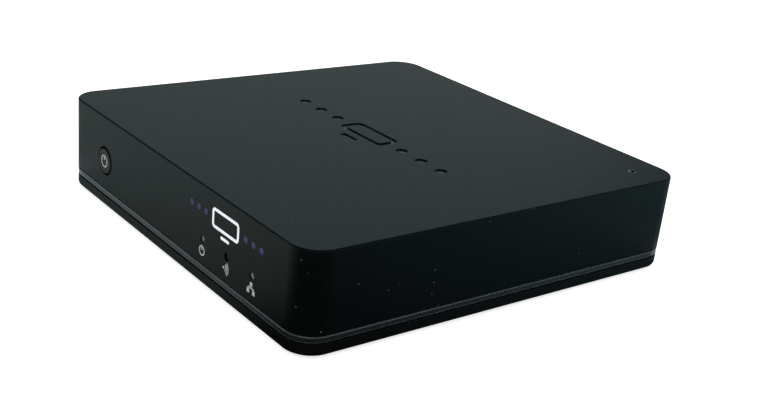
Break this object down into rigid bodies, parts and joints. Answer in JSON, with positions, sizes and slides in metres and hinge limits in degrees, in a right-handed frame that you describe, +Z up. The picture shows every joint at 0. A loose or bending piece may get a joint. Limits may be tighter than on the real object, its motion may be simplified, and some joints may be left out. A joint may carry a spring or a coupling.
{
  "type": "streaming media player",
  "caption": "Small square black set-top box with a gloss trim band, a round power button, three front light holes and rear sockets.",
  "frame": {"origin": "centre of the plane that the four feet stand on", "axes": "+Z up, front panel with the power button towards -Y, rear sockets towards +Y, right side +X"},
  "size_m": [0.11, 0.1102, 0.024],
  "materials": {
    "cover_plastic": "fine matt texture, black",
    "ring_plastic": "dark metallic grey, satin gloss",
    "base_plastic": "fine matt texture, black",
    "foot_rubber": "matt",
    "button_plastic": "satin dark grey",
    "print_ink": "flat white and grey-violet ink",
    "label_sheet": "blank satin foil",
    "clear_plastic": "clear moulded",
    "infrared_plastic": "dark red, passes infrared",
    "sheet_metal": "tinned sheet",
    "screw_steel": "zinc plated",
    "board_laminate": "solder mask, green",
    "chip_resin": "moulded resin, black",
    "pad_silicone": "soft silicone",
    "aluminium": "extruded, satin",
    "ferrite": "sintered, dark grey",
    "nylon": "natural white",
    "gold_contact": "gold flashed",
    "socket_plastic": "black, satin",
    "socket_plastic_light": "white, satin",
    "component_ceramic": "fired ceramic",
    "led_resin": "milky resin"
  },
  "bodies": {
    "housing": {"top_cover": "cover_plastic", "trim_ring": "ring_plastic", "base_tray": "base_plastic", "rating_label": "label_sheet", "front_marks": "print_ink", "foot_front_left": "foot_rubber", "foot_front_right": "foot_rubber", "foot_rear_left": "foot_rubber", "foot_rear_right": "foot_rubber", "case_screws": "screw_steel", "board_screws": "screw_steel", "switch_body": "socket_plastic", "switch_frame": "sheet_metal", "power_light_guide": "clear_plastic", "network_light_guide": "clear_plastic", "infrared_window": "infrared_plastic", "infrared_receiver": "chip_resin", "status_leds": "led_resin", "main_board": "board_laminate", "processor": "chip_resin", "thermal_pad": "pad_silicone", "heat_sink": "aluminium", "heat_sink_pins": "nylon", "memory_chips": "chip_resin", "storage_chip": "chip_resin", "power_inductors": "ferrite", "filter_capacitors": "aluminium", "clock_crystal": "sheet_metal", "network_transformer": "chip_resin", "chip_components": "component_ceramic", "wireless_module": "board_laminate", "wireless_shield": "sheet_metal", "wireless_antennas": "sheet_metal", "power_inlet": "socket_plastic", "power_inlet_pin": "sheet_metal", "av_jack": "socket_plastic", "video_socket_shell": "sheet_metal", "video_socket_tongue": "socket_plastic", "usb_shell_1": "sheet_metal", "usb_tongue_1": "socket_plastic_light", "usb_shell_2": "sheet_metal", "usb_tongue_2": "socket_plastic_light", "network_jack_body": "socket_plastic", "network_jack_shield": "sheet_metal", "network_jack_contacts": "gold_contact"},
    "power_button": {"power_button": "button_plastic", "power_symbol": "print_ink"},
    "switch_plunger": {"switch_plunger": "socket_plastic"}
  },
  "joints": [
    {"name": "power_press", "type": "slide", "parent": "housing", "child": "power_button", "axis": [0, 1, 0], "range_m": [0, 0.0004], "stiffness_N_per_m": 1500},
    {"name": "plunger_press", "type": "slide", "parent": "housing", "child": "switch_plunger", "axis": [0, 1, 0], "range_m": [0, 0.0004]}
  ],
  "couplings": [
    {"joint": "plunger_press", "follows": "power_press", "ratio": 1}
  ]
}
